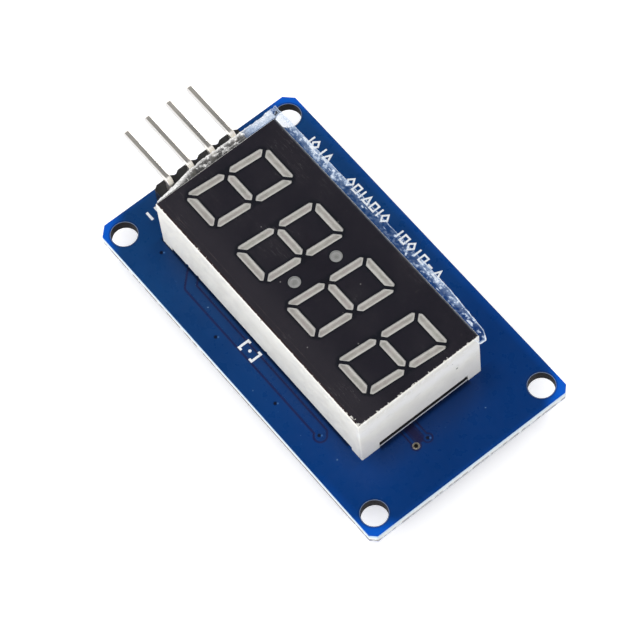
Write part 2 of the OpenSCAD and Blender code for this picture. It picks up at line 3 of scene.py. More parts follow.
import bpy
import numpy as np
from mathutils import Matrix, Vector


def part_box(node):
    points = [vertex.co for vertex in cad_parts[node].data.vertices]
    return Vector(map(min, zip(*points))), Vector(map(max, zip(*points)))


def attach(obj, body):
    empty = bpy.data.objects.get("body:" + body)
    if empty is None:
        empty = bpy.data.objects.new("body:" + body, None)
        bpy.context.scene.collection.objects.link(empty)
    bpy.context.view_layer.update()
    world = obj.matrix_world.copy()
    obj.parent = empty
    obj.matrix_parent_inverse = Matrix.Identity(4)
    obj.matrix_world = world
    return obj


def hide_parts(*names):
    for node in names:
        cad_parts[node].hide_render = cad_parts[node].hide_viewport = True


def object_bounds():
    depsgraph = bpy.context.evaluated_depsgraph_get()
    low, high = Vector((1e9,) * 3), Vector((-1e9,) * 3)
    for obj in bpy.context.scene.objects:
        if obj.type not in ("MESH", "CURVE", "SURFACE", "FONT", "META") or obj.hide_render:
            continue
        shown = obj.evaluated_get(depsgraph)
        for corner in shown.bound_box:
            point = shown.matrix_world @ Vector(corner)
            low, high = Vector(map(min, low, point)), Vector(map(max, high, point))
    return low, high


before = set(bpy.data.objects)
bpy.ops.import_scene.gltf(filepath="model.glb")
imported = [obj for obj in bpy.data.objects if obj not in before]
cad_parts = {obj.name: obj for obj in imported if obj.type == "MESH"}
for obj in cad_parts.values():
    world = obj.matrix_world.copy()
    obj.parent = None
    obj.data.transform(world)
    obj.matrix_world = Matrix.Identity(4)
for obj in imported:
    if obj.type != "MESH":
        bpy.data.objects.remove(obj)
cad_box = [list(corner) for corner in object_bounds()]

# -------- camera
# A long lens looks down on the far end and the near side of the module, from
# about a third of a metre away. Its three axes are given as unit vectors.

lens_right = (0.6232876, 0.77944272, -0.0631)
lens_down = (0.68097398, -0.58066886, -0.44620412)
lens_ahead = (-0.38443076, 0.23514404, -0.89270391)

camera_data = bpy.data.cameras.new("camera")
camera_data.lens, camera_data.sensor_width = 198.0, 36.0
camera_data.clip_start, camera_data.clip_end = 0.01, 20.0
camera = bpy.data.objects.new("camera", camera_data)
bpy.context.scene.collection.objects.link(camera)
turn = Matrix([lens_right, [-c for c in lens_down], [-c for c in lens_ahead]]).transposed()
camera.matrix_world = Matrix.Translation((0.127640, -0.079321, 0.296814)) @ turn.to_4x4()
bpy.context.scene.camera = camera
bpy.context.scene.view_settings.view_transform = "Standard"

# -------- laminate
# The board itself: glass cloth pressed in resin, sawn to shape and drilled.
# The saw leaves its edge white under the lacquer, with torn cloth low down,
# and the walls of the four mounting holes are painted black as painted shade.

MM = 0.001
BOARD_HALF = (21.0, 11.8)
HOLE_PLACE, HOLE_RADIUS = (19.0, 10.0), 1.3


def new_finish(name):
    """An empty node material with one Principled shader wired to its output.
    Returns it, its tree and shader, and the point's place in millimetres."""
    material = bpy.data.materials.new(name)
    material.use_nodes = True
    tree = material.node_tree
    tree.nodes.clear()
    shader = tree.nodes.new("ShaderNodeBsdfPrincipled")
    output = tree.nodes.new("ShaderNodeOutputMaterial")
    tree.links.new(shader.outputs[0], output.inputs["Surface"])
    return material, tree, shader, place_in_mm(tree)


def feed(tree, node, sockets):
    """Gives a node's inputs their values, or links the outputs that feed them."""
    for key, value in dict(sockets).items():
        if isinstance(value, bpy.types.NodeSocket):
            tree.links.new(value, node.inputs[key])
        else:
            node.inputs[key].default_value = value


def put(tree, kind, sockets=(), **settings):
    """Adds one shader node: settings are its own choices, sockets its inputs."""
    node = tree.nodes.new("ShaderNode" + kind)
    for key, value in settings.items():
        setattr(node, key, value)
    feed(tree, node, sockets)
    return node


def maths(tree, operation, *values, clamp=False):
    """One Math node; returns its output."""
    sockets = dict(enumerate(values))
    return put(tree, "Math", sockets, operation=operation, use_clamp=clamp).outputs[0]


def chain(tree, operation, values):
    """Math nodes in a row, each with the result so far and the next value."""
    result = values[0]
    for value in values[1:]:
        result = maths(tree, operation, result, value)
    return result


def plus(tree, *values):
    """The sum of some values."""
    return chain(tree, "ADD", values)


def minus(tree, value, amount):
    """A value less an amount."""
    return maths(tree, "SUBTRACT", value, amount)


def times(tree, *values):
    """The product of some values."""
    return chain(tree, "MULTIPLY", values)


def vector_of(tree, operation, *values):
    """One Vector Math node; returns its number where it gives one, or else its
    vector."""
    node = put(tree, "VectorMath", dict(enumerate(values)), operation=operation)
    gives_number = operation in ("DISTANCE", "DOT_PRODUCT", "LENGTH")
    return node.outputs["Value" if gives_number else "Vector"]


def place_in_mm(tree):
    """The point on the piece in millimetres, in the frame of the whole module."""
    coordinates = put(tree, "TexCoord").outputs["Object"]
    return vector_of(tree, "MULTIPLY", coordinates, (1000, 1000, 1000))


def flat_place(tree, place):
    """The point's place on the board, with its height left out."""
    return vector_of(tree, "MULTIPLY", place, (1, 1, 0))


def axes_of(tree, vector):
    """The X, Y and Z of a vector, by name."""
    return put(tree, "SeparateXYZ", {0: vector}).outputs


def noise(tree, place, scale, detail=3.0, roughness=0.5, stretch=(1, 1, 1)):
    """Cloudy noise from 0 to 1, scale in features for each millimetre."""
    stretched = vector_of(tree, "MULTIPLY", place, stretch)
    sockets = {"Vector": stretched, "Scale": scale, "Detail": detail, "Roughness": roughness}
    return put(tree, "TexNoise", sockets).outputs["Fac"]


def step(tree, value, start, end, low=0.0, high=1.0):
    """Smooth step: low at start, high at end, and an S curve between them."""
    if start > end:
        start, end, low, high = end, start, high, low
    sockets = dict(enumerate((value, start, end, low, high)))
    return put(tree, "MapRange", sockets, interpolation_type="SMOOTHSTEP").outputs["Result"]


def blend(tree, share, first, second):
    """Mixes two colours, each a colour or the output of a node."""
    opaque = [(*c, 1) if isinstance(c, tuple) else c for c in (first, second)]
    return put(tree, "Mix", {0: share, 6: opaque[0], 7: opaque[1]}, data_type="RGBA").outputs[2]


def layered(tree, colour, *layers):
    """A colour with others laid over it in turn, each after the share it covers."""
    for share, layer in layers:
        colour = blend(tree, share, colour, layer)
    return colour


def paint(tree, shader, colour, roughness, specular=0.5):
    """Gives the shader its colour, its roughness and how much it reflects."""
    names = ("Base Color", "Roughness", "Specular IOR Level")
    feed(tree, shader, zip(names, (colour, roughness, specular)))


def bump(tree, shader, height, distance, strength=1.0):
    """Bump of a height from 0 to 1 that stands distance metres high."""
    node = put(tree, "Bump", {"Height": height, "Distance": distance, "Strength": strength})
    tree.links.new(node.outputs[0], shader.inputs["Normal"])


def wear(material, *nodes):
    """Puts a finish on CAD nodes."""
    for node in nodes:
        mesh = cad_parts[node].data
        mesh.materials.clear()
        mesh.materials.append(material)


material, tree, shader, place = new_finish("sawn_laminate")
x, y, z = axes_of(tree, place)
far = vector_of(tree, "ABSOLUTE", place)
far_x = axes_of(tree, far)["X"]
cloth = noise(tree, place, 1.6, detail=5, stretch=(1, 1, 7))
torn = noise(tree, place, 1.1, detail=5, roughness=0.65, stretch=(1, 1, 0.4))
near_side = step(tree, y, 0.10 - BOARD_HALF[1], 0.02 - BOARD_HALF[1])
torn = plus(tree, torn, times(tree, near_side, step(tree, x, -6, 1, 0.0, 0.07)))
torn = times(tree, step(tree, z, 0.50, 0.30), step(tree, torn, 0.40, 0.54, 0.0, 0.90))
sawn_end = step(tree, far_x, BOARD_HALF[0] - 0.10, BOARD_HALF[0] - 0.02, 0.0, 0.35)
edge = layered(
    tree, (0.88, 0.91, 0.92),
    (step(tree, cloth, 0.35, 0.65), (0.99, 0.995, 1.0)),
    (step(tree, z, 0.62, 1.05), (0.56, 0.78, 0.98)),
    (torn, (0.28, 0.25, 0.23)),
    (sawn_end, (0.56, 0.60, 0.64)),
)
from_hole = flat_place(tree, vector_of(tree, "SUBTRACT", far, (*HOLE_PLACE, 0)))
past_wall = minus(tree, vector_of(tree, "LENGTH", from_hole), HOLE_RADIUS)
# Painted shade: the walls of the mounting holes are near black.
hole_wall_shade = step(tree, past_wall, 0.04, 0.01)
shaded_hole_wall = blend(tree, hole_wall_shade, (0.26, 0.32, 0.44), (0.010, 0.008, 0.011))
paint(tree, shader, blend(tree, step(tree, past_wall, 0.32, 0.20), edge, shaded_hole_wall), 0.65, 0.15)
bump(tree, shader, cloth, 0.03 * MM)
wear(material, "laminate")

# -------- solder mask
# A glossy blue lacquer on both sides. Bare laminate under it looks dark, so
# the gaps along a track show as lines. Past the copper, at the board's rim
# and in its corners, light comes through the laminate and the blue is bright.

FOOT_END_X, FOOT_NEAR_Y = 14.2, -7.55
END_VIA = (16.25, -2.80)
VIAS = ((9.62, -8.97), (16.3, -1.45), (-15.1, -8.49), (-4.65, -10.05), (4.4, -10.05))
SPECKS = (
    (-7.59, -8.70), (12.61, -9.25), (2.03, -10.84), (8.50, -10.27), (17.4, 4.6), (-12.2, 9.1),
)


def run_distance(tree, place, start, end):
    """Distance from the point to a straight run: the point's share of the way
    along the run, held between 0 and 1, gives the nearest place on it."""
    along = tuple(e - s for s, e in zip(start, end)) + (0,)
    offset = vector_of(tree, "SUBTRACT", place, (*start, 0))
    dot = vector_of(tree, "DOT_PRODUCT", offset, along)
    share = maths(tree, "DIVIDE", dot, along[0] ** 2 + along[1] ** 2, clamp=True)
    scaled = put(tree, "VectorMath", {0: along, "Scale": share}, operation="SCALE")
    return vector_of(tree, "DISTANCE", offset, scaled.outputs[0])


def spot_distance(tree, place, *centres):
    """Distance from the point to the nearest of some spots."""
    return least(tree, *[vector_of(tree, "DISTANCE", place, (*c, 0)) for c in centres])


def least(tree, *values):
    """The smallest of some values."""
    return chain(tree, "MINIMUM", values)


def most(tree, *values):
    """The largest of some values."""
    return chain(tree, "MAXIMUM", values)


def line_at(tree, value, level, half_width, soft):
    """1 where value is within half_width of level, with a soft edge."""
    off = maths(tree, "ABSOLUTE", minus(tree, value, level))
    return step(tree, off, half_width + soft, half_width - soft)


def scattered(tree, place, scale, size, share):
    """Spots scattered at random, scale in spots for each millimetre, each of
    which covers up to share of what lies under it."""
    near = put(tree, "TexVoronoi", {"Vector": place, "Scale": scale}).outputs["Distance"]
    return step(tree, near, size, size - 0.025, 0.0, share)


def light_through(tree, flat):
    """How much light comes through the rim, from 0 to 1. It falls off from the
    ends, the far side and the far part of the near side, and is full in the
    corners, where the sum of the distances along both sides is largest."""
    here, far = axes_of(tree, flat), axes_of(tree, vector_of(tree, "ABSOLUTE", flat))
    end, side = BOARD_HALF
    near_side = step(tree, here["Y"], 1.0 - side, 0.1 - side)
    return most(
        tree,
        step(tree, far["X"], end - 0.6, end, 0.0, 0.12),
        step(tree, here["Y"], side - 1.0, side - 0.1, 0.0, 0.17),
        times(tree, near_side, step(tree, here["X"], 11, 16, 0.0, 0.16)),
        step(tree, plus(tree, far["X"], far["Y"]), 28.9, 31.6),
    )


def copper_marks(tree, flat):
    """Where the lacquer lies on bare laminate beside the copper: both sides of
    the broad track and of the two thin ones, rings round their vias, and the
    strip between the thin tracks."""
    broad = least(
        tree,
        run_distance(tree, flat, (-11.45, -7.48), (-10.33, -8.64)),
        run_distance(tree, flat, (-10.33, -8.64), (9.50, -8.64)),
    )
    ring = spot_distance(tree, flat, (9.74, -8.93))
    broad = least(tree, minus(tree, broad, 0.56), minus(tree, ring, 0.63))
    thin = least(
        tree,
        run_distance(tree, flat, (13.6, VIAS[1][1]), VIAS[1]),
        run_distance(tree, flat, (13.6, END_VIA[1]), END_VIA),
    )
    rings = spot_distance(tree, flat, VIAS[1], END_VIA)
    thin = least(tree, minus(tree, thin, 0.21), minus(tree, rings, 0.46))
    between = run_distance(tree, flat, (13.0, -2.12), (15.9, -2.12))
    return most(
        tree,
        line_at(tree, broad, 0.0, 0.09, 0.09),
        line_at(tree, thin, 0.0, 0.07, 0.07),
        step(tree, between, 0.46, 0.30),
    )


def foot_shade(tree, flat):
    """How much darker the lacquer reads along the display's foot, where light
    hardly gets to it: steep beside the wall, then slow, by the distances from
    the near wall and from the open part of the end wall."""
    x, y = axes_of(tree, flat)[:2]
    from_end, from_near = minus(tree, x, FOOT_END_X), minus(tree, FOOT_NEAR_Y, y)
    steep = times(
        tree,
        step(tree, y, 5.3, 5.1),
        step(tree, y, -5.6, -5.4),
        step(tree, from_end, 0.62, 0.05, 0.0, 0.52),
    )
    end = times(
        tree,
        plus(tree, steep, step(tree, from_end, 3.6, 0.1, 0.0, 0.30)),
        step(tree, y, -8.0, -5.5),
        step(tree, x, 14.0, 14.1),
        step(tree, y, 9.0, 6.2),
    )
    steep = times(tree, step(tree, from_near, 0.24, 0.02, 0.0, 0.6), step(tree, x, 12.3, 12.1))
    near = times(
        tree,
        plus(tree, steep, step(tree, from_near, 2.2, 0.1, 0.0, 0.16)),
        step(tree, x, 14.6, 14.1),
        step(tree, y, -7.4, -7.5),
        step(tree, x, -16.6, -16.1),
    )
    return most(tree, end, near)


def mask_finish(name, top_side):
    """The lacquer: cloudy blue, with painted shade towards the far end and the far
    corner, the light in its rim, a dark line round each mounting hole, and dust.
    The top side also shows the copper's outlines, the shade at the display's foot,
    painted shade in the vias' pits with painted glints beside them, and specks."""
    material, tree, shader, place = new_finish(name)
    flat = flat_place(tree, place)
    cloud = noise(tree, place, 0.22, detail=2)
    to_corner = vector_of(tree, "DOT_PRODUCT", flat, (0.6, 0.4, 0))
    to_hole = spot_distance(tree, vector_of(tree, "ABSOLUTE", flat), HOLE_PLACE)
    halo = line_at(tree, to_hole, HOLE_RADIUS + 0.14, 0.05, 0.08)
    tint = layered(
        tree, (0.0036, 0.0385, 0.148),
        (step(tree, cloud, 0.3, 0.7), (0.0050, 0.0475, 0.170)),
        # Painted shade: darker towards the far end and towards the far corner.
        (step(tree, axes_of(tree, place)["X"], -14, 18), (0.0006, 0.037, 0.185)),
        (step(tree, to_corner, 7.0, 11.5), (0.0006, 0.031, 0.155)),
        (light_through(tree, flat), (0.0020, 0.100, 0.58)),
        (times(tree, halo, 0.6), (0.003, 0.018, 0.075)),
    )
    if top_side:
        # Painted shade in the vias' pits, and a painted glint beside each.
        pits = spot_distance(tree, flat, *VIAS)
        glints = spot_distance(tree, flat, *[(x + 0.16, y + 0.18) for x, y in VIAS])
        specks = spot_distance(tree, flat, *SPECKS)
        ragged = maths(tree, "MULTIPLY_ADD", noise(tree, place, 4.0, detail=3), 0.3, specks)
        tint = layered(
            tree, tint,
            (copper_marks(tree, flat), (0.011, 0.013, 0.070)),
            (foot_shade(tree, flat), (0.0, 0.0, 0.002)),
            (step(tree, pits, 0.24, 0.12), (0.002, 0.004, 0.018)),
            (step(tree, glints, 0.14, 0.04), (0.05, 0.14, 0.36)),
            (step(tree, ragged, 0.22, 0.16), (0.13, 0.24, 0.42)),
        )
    tint = blend(tree, scattered(tree, place, 0.75, 0.065, 0.22), tint, (0.04, 0.13, 0.34))
    haze = noise(tree, place, 0.9, detail=4)
    paint(tree, shader, tint, step(tree, haze, 0.2, 0.8, 0.24, 0.36), 0.16)
    bump(tree, shader, noise(tree, place, 3.0, detail=2), 0.004 * MM)
    return material


wear(mask_finish("mask_top_side", True), "solder_mask_top")
wear(mask_finish("mask_under_side", False), "solder_mask_bottom")

# -------- printed legend
# White ink screened onto the lacquer: a row of plain shapes along the far
# side, two brackets with a dot beside the display, and bars at the header.

INK_HEIGHT, INK_SUNK, INK_WIDTH = 0.018, 0.002, 0.19
LEGEND_Y = 10.02
board_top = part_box("solder_mask_top")[1].z * 1000
row_shapes = {
    "frame": (True, [(-0.30, -0.40), (0.30, -0.40), (0.30, 0.40), (-0.30, 0.40)]),
    "kite": (True, [(0, -0.48), (0.36, 0), (0, 0.48), (-0.36, 0)]),
    "wedge": (True, [(-0.36, -0.38), (0.36, -0.38), (0, 0.42)]),
    "bar": (False, [(0, -0.50), (0, 0.50)]),
    "dash": (False, [(-0.30, 0), (0.30, 0)]),
}
row_order = [
    (-15.4, "bar"), (-14.7, "kite"), (-13.6, "bar"), (-12.8, "wedge"),
    (-9.3, "kite"), (-8.3, "frame"), (-7.5, "bar"), (-6.7, "wedge"), (-5.7, "frame"),
    (-4.9, "bar"), (-4.1, "kite"),
    (-1.9, "bar"), (-1.1, "frame"), (-0.1, "kite"), (0.8, "bar"), (1.7, "frame"),
    (2.7, "dash"), (3.8, "wedge"),
]

legend_ink, tree, shader, place = new_finish("white_legend")
thin_ink = noise(tree, place, 5.0, detail=4)
ink = blend(tree, step(tree, thin_ink, 0.30, 0.50), (0.62, 0.68, 0.80), (0.90, 0.92, 0.95))
paint(tree, shader, ink, 0.45)
bump(tree, shader, thin_ink, 0.004 * MM)


def make_piece(name, points, faces, finish, slot, smooth=True, values=None):
    """A mesh object from arrays in millimetres, riding on the module."""
    mesh = bpy.data.meshes.new(name)
    mesh.from_pydata((np.asarray(points) * MM).tolist(), [], faces)
    for key, numbers in (values or {}).items():
        attribute = mesh.attributes.new(key, "FLOAT", "POINT")
        attribute.data.foreach_set("value", np.asarray(numbers, np.float32))
    mesh.polygons.foreach_set("use_smooth", np.broadcast_to(smooth, len(mesh.polygons)).tolist())
    mesh.materials.append(finish)
    piece = bpy.data.objects.new(name, mesh)
    bpy.context.scene.collection.objects.link(piece)
    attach(piece, "root")
    return piece


def ring_faces(rings, around, closed_along=False):
    """Four-cornered faces between rings of points: each face joins a point and
    its neighbour round the ring to the same two points of the next ring."""
    row, column = np.meshgrid(
        np.arange(rings if closed_along else rings - 1), np.arange(around), indexing="ij"
    )
    after, next_row = (column + 1) % around, (row + 1) % rings
    corners = [(row, column), (row, after), (next_row, after), (next_row, column)]
    return np.stack([r * around + c for r, c in corners], -1).reshape(-1, 4)


def tube_faces(rings, around):
    """Ring faces with a flat face over each end."""
    last = (rings - 1) * around
    ends = [list(range(around))[::-1], list(range(last, last + around))]
    return ring_faces(rings, around).tolist() + ends


def ink_line(path, width, closed=False):
    """A printed line: a flat band carried along a path. Each side runs half the
    width from the path, along the direction that halves the turn, stretched
    there by one over the cosine of half the turn so that corners are mitred."""
    path = np.asarray(path, float)
    ahead = np.roll(path, -1, axis=0) - path
    if not closed:
        ahead[-1] = ahead[-2]
    ahead /= np.hypot(*ahead.T)[:, None]
    behind = np.roll(ahead, 1, axis=0)
    if not closed:
        behind[0] = ahead[0]
    middle = ahead + behind
    middle /= np.hypot(*middle.T)[:, None]
    reach = width / 2 / (middle * ahead).sum(1)
    side = np.stack([-middle[:, 1], middle[:, 0]], 1) * reach[:, None]
    left, right = path + side, path - side
    high, low = (np.full((len(path), 1), board_top + z) for z in (INK_HEIGHT, -INK_SUNK))
    corners = ((left, high), (right, high), (right, low), (left, low))
    points = np.stack([np.hstack(corner) for corner in corners], 1).reshape(-1, 3)
    if closed:
        return points, ring_faces(len(path), 4, True).tolist()
    return points, tube_faces(len(path), 4)


def circle(radius, count):
    """Points round a circle, counter-clockwise."""
    angle = np.linspace(0, 2 * math.pi, count, endpoint=False)
    return radius * np.stack([np.cos(angle), np.sin(angle)], 1)


def ink_dot(centre, radius):
    """A printed dot: a disc outline, once low and once high, closed both ways."""
    disc = np.asarray(centre) + circle(radius, 20)
    rings = [np.hstack([disc, np.full((20, 1), board_top + z)]) for z in (-INK_SUNK, INK_HEIGHT)]
    return np.vstack(rings), tube_faces(2, 20)


def joined(parts):
    """Puts (points, faces) parts together: each part's points are counted on
    from those of the parts before it."""
    starts = np.cumsum([0] + [len(points) for points, _ in parts])
    faces = [
        [int(corner + start) for corner in face]
        for (_, part), start in zip(parts, starts)
        for face in part
    ]
    return np.vstack([points for points, _ in parts]), faces


def printed(name, parts):
    """One legend piece of several printed parts."""
    return make_piece(name, *joined(parts), legend_ink, "solder_mask", smooth=False)


row = []
for x, kind in row_order:
    closed, shape = row_shapes[kind]
    row.append(ink_line(np.asarray(shape) + (x, LEGEND_Y), INK_WIDTH, closed))
printed("row_of_shapes", row)
brackets = [
    ink_line([(x + lip, -7.95), (x, -7.95), (x, -9.05), (x + lip, -9.05)], 0.24)
    for x, lip in ((-2.35, 0.35), (-0.45, -0.35))
]
printed("bracket_mark", brackets + [ink_dot((-1.4, -8.5), 0.16)])
printed("bar_marks", [ink_line([(-19.45, y), (-18.45, y)], 0.26) for y in (-6.0, -6.95)])

# -------- plated holes
# Copper rings and barrels with a thin coat of tin, a little uneven and warm
# where the copper shows through, and painted shade down the barrels.


def metal_finish(
    name, light, dark, scale, stretch=(1, 1, 1), smooth=0.22, rough=0.42, drawn=0.6, shades=()
):
    """Metal with cloudy tarnish between two tints and fine drawn marks. Each of the
    painted shades has a function for what it covers, and a tint."""
    material, tree, shader, place = new_finish(name)
    tarnish = noise(tree, place, scale, detail=4, stretch=stretch)
    tint = blend(tree, step(tree, tarnish, 0.3, 0.7), light, dark)
    tint = layered(tree, tint, *[(cover(tree, place), shade) for cover, shade in shades])
    paint(tree, shader, tint, step(tree, tarnish, 0.3, 0.75, smooth, rough))
    shader.inputs["Metallic"].default_value = 1.0
    scratches = noise(tree, place, scale * 5, detail=2, stretch=stretch)
    bump(tree, shader, scratches, 0.003 * MM, drawn)
    return material


def barrel_shade(tree, place):
    """1 where shade is painted down a barrel: in the board's thickness, and over
    the open via at the display's end."""
    low, high = (corner.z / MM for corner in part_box("laminate"))
    from_middle = maths(tree, "ABSOLUTE", minus(tree, axes_of(tree, place)["Z"], high / 2))
    half = (high - low) / 2
    via = spot_distance(tree, flat_place(tree, place), END_VIA)
    return most(
        tree, step(tree, from_middle, half + 0.01, half - 0.02), step(tree, via, 0.22, 0.17)
    )


plating = metal_finish(
    "tinned_copper", (0.42, 0.39, 0.33), (0.20, 0.18, 0.145), 1.6,
    shades=[(barrel_shade, (0.008, 0.007, 0.006))],
)
wear(plating, "plated_holes")

# -------- display shell
# One white moulding, slightly waxy: light goes a little way into it. Its
# walls have the faint clouds of the mould and a few rubbed and dirty spots,
# and the face print has run down into the segments' cavities.

material, tree, shader, place = new_finish("white_shell")
x, y, z = axes_of(tree, place)
shell_low, shell_high = (np.array(corner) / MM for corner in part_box("display_shell"))
clouds = noise(tree, place, 0.55, detail=4)
rise = plus(tree, z, times(tree, clouds, 1.5))
near_wall = step(tree, y, -6.8, -7.4)
# Painted light: the near wall is brighter high up and towards the header end.
painted_light = most(tree, step(tree, rise, 5.6, 8.6), step(tree, x, -9, -14.5))
end_wall = step(tree, x, shell_high[0] - 0.5, shell_high[0] - 0.2)
# Painted highlights near the end wall's top: sparkling flecks and a whiter band.
flecks = noise(tree, place, 1.7, detail=5, roughness=0.72)
flecks = times(tree, step(tree, flecks, 0.53, 0.60), step(tree, z, 5.6, 6.6))
band = most(tree, times(tree, line_at(tree, rise, 7.4, 0.7, 0.7), 0.85), flecks)
marks = step(tree, noise(tree, place, 2.6, detail=4, roughness=0.7), 0.54, 0.70, 0.0, 0.22)
# Painted shade: the end wall is darker low down, towards the board.
low_shade = step(tree, z, 5.8, 2.8, 0.0, 0.30)
smudge = noise(tree, place, 0.8, detail=6, roughness=0.65, stretch=(1, 1, 1.5))
speck = vector_of(tree, "DISTANCE", place, (14.2, 3.95, 5.35))
inside = least(
    tree,
    minus(tree, x, shell_low[0] + 0.04),
    minus(tree, shell_high[0] - 0.14, x),
    minus(tree, y, shell_low[1] + 0.14),
    minus(tree, shell_high[1] - 0.01, y),
)
near_face = step(tree, z, shell_high[2] - 0.13, shell_high[2] - 0.11)
white = layered(
    tree, (0.87, 0.86, 0.805),
    (step(tree, clouds, 0.3, 0.7), (0.94, 0.932, 0.875)),
    (times(tree, painted_light, near_wall), (1.0, 0.99, 0.932)),
    (times(tree, band, end_wall), (1.0, 1.0, 0.985)),
    (times(tree, marks, end_wall), (0.70, 0.68, 0.66)),
    (times(tree, low_shade, end_wall), (0.60, 0.585, 0.60)),
    (step(tree, smudge, 0.58, 0.72, 0.0, 0.30), (0.56, 0.55, 0.52)),
    (scattered(tree, place, 0.42, 0.060, 0.6), (0.30, 0.30, 0.27)),
    (step(tree, speck, 0.17, 0.07, 0.0, 0.85), (0.10, 0.10, 0.09)),
    (least(tree, step(tree, inside, -0.01, 0.01), near_face), (0.012, 0.011, 0.013)),
)
rubbed = noise(tree, place, 1.3, detail=5, roughness=0.6, stretch=(1, 1, 1.6))
paint(tree, shader, white, step(tree, rubbed, 0.4, 0.6, 0.5, 0.28))
shader.inputs["Subsurface Weight"].default_value = 0.12
shader.inputs["Subsurface Radius"].default_value = (1.0, 0.9, 0.8)
shader.inputs["Subsurface Scale"].default_value = 0.6 * MM
grained = noise(tree, place, 4.5, detail=4, roughness=0.7)
near_top = step(tree, z, 5.2, 7.6, 0.25, 1.0)
bump(tree, shader, maths(tree, "MULTIPLY_ADD", grained, near_top, rubbed), 0.03 * MM)
wear(material, "display_shell")

# -------- display board and dies
# The display's own board closes the shell from below. Its edge is pale and its
# upper side is painted black as painted shade, so the slit under the shell's
# ends looks dark. It carries the dies, which stay hidden under the resin.

material, tree, shader, place = new_finish("display_board")
weave = noise(tree, place, 1.8, detail=4, stretch=(1, 1, 5))
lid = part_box("display_substrate")[1].z / MM
edge_and_shade = layered(
    tree, (0.52, 0.56, 0.66),
    (step(tree, weave, 0.35, 0.65), (0.72, 0.74, 0.80)),
    (step(tree, axes_of(tree, place)["Z"], lid - 0.28, lid - 0.24), (0.006, 0.006, 0.007)),
)
paint(tree, shader, edge_and_shade, 0.5)
bump(tree, shader, weave, 0.01 * MM)
wear(material, "display_substrate")

material, tree, shader, place = new_finish("die")
grain = noise(tree, place, 9.0)
gold = blend(tree, step(tree, grain, 0.4, 0.6), (0.62, 0.50, 0.22), (0.75, 0.64, 0.36))
paint(tree, shader, gold, 0.3)
wear(material, "led_dies")

# -------- digits
# Milky resin cast into the segment cavities. Its face sinks a little as it
# cures and climbs the cavity's wall. Each segment has a paler rim, a painted
# highlight, round a darker, faintly clouded middle. The lens of each face is
# its own thin piece on top of the cast block.

STROKE, GAP, CORNER = 0.83, 0.33, 0.66
DIGIT_WIDTH, DIGIT_HEIGHT, DIGIT_PITCH = 4.87, 9.25, 7.55
DOT_RADIUS, DOT_RISE = 0.55, 2.31
LEAN = math.tan(math.radians(5))


def segment_corners():
    """The seven segments of a digit, upright, each as its six corners: a
    stroke whose ends are mitred at 45 degrees, with the digit's outer corners
    cut off. The lower ones and the left ones are mirror images."""
    h, w, s = (DIGIT_HEIGHT - STROKE) / 2, (DIGIT_WIDTH - STROKE) / 2, STROKE / 2
    mitre = GAP / math.sqrt(2)
    out, back = (mitre + STROKE - CORNER) / 2, (mitre - STROKE + CORNER) / 2
    inner, tip, outer = w - mitre - s, w - back, w + s - CORNER
    top = [(inner, h - s), (tip, h + out), (outer, h + s)]
    top += [(-x, y) for x, y in top[::-1]]
    low, inner, tip, outer = mitre + s, h - mitre - s, h - back, h + s - CORNER
    side = [(w - s, low), (w, mitre), (w + s, low), (w + s, outer), (w + out, tip), (w - s, inner)]
    point = w - mitre
    middle = [(point - s, -s), (point, 0), (point - s, s)]
    middle += [(-x, y) for x, y in middle[::-1]]
    signs = [(1, 1, top), (1, -1, top)]
    signs += [(x, y, side) for x in (1, -1) for y in (1, -1)]
    return [np.array(p, float) * (x, y) for x, y, p in signs] + [np.array(middle, float)]


def rounded_outline(corners, radius, count):
    """count points round a polygon whose corners are rounded: each point of an
    even walk round it is averaged with its neighbours over the corner radius."""
    closed = np.vstack([corners, corners[:1]])
    reached = np.concatenate([[0], np.cumsum(np.hypot(*np.diff(closed, axis=0).T))])
    walk = np.linspace(0, reached[-1], count, endpoint=False)
    points = np.stack([np.interp(walk, reached, closed[:, k]) for k in (0, 1)], 1)
    reach = max(1, int(round(radius / (reached[-1] / count))))
    return np.mean([np.roll(points, k, axis=0) for k in range(-reach, reach + 1)], axis=0)


def counter_clockwise(outline):
    """The outline, turned round if its signed area, half the sum of the cross
    products of neighbouring points, is negative."""
    after = np.roll(outline, -1, axis=0)
    area = (outline[:, 0] * after[:, 1] - outline[:, 1] * after[:, 0]).sum()
    return outline if area > 0 else outline[::-1]


def sunk_lens(outline, spine, depth, levels):
    """A thin closed lens over an outline. Its top runs from near the spine to
    the outline, low in the middle and high at the rim by the square of the
    way out, its underside is flat, and a narrow flat face along the spine
    closes each. Returns points, faces and the way out."""
    outline = counter_clockwise(outline)
    count = len(outline)
    ends = spine[1] - spine[0]
    share = np.clip((outline - spine[0]) @ ends / max(float(ends @ ends), 1e-9), 0, 1)
    roots = spine[0] + share[:, None] * ends
    out = np.linspace(0.05, 1, levels)
    way = np.concatenate([out, [1.0, 0.05]])
    rise = np.concatenate([depth * out**2, [-0.004, -0.004]])
    flat = roots[None] + way[:, None, None] * (outline - roots)[None]
    high = np.repeat(rise[:, None], count, axis=1)
    points = np.concatenate([flat, high[..., None]], axis=2).reshape(-1, 3)
    faces = [face[::-1] for face in tube_faces(levels + 2, count)]
    return points, faces, np.repeat(way, count)


def resin_face(name, lenses, finish):
    """One piece of several lenses, just clear of the cast resin's top."""
    parts = [sunk_lens(*lens) for lens in lenses]
    points, faces = joined([part[:2] for part in parts])
    way = np.concatenate([part[2] for part in parts])
    points += (0, 0, resin_top + 0.006)
    make_piece(name, points, faces, finish, "resin", values={"way_out": way})


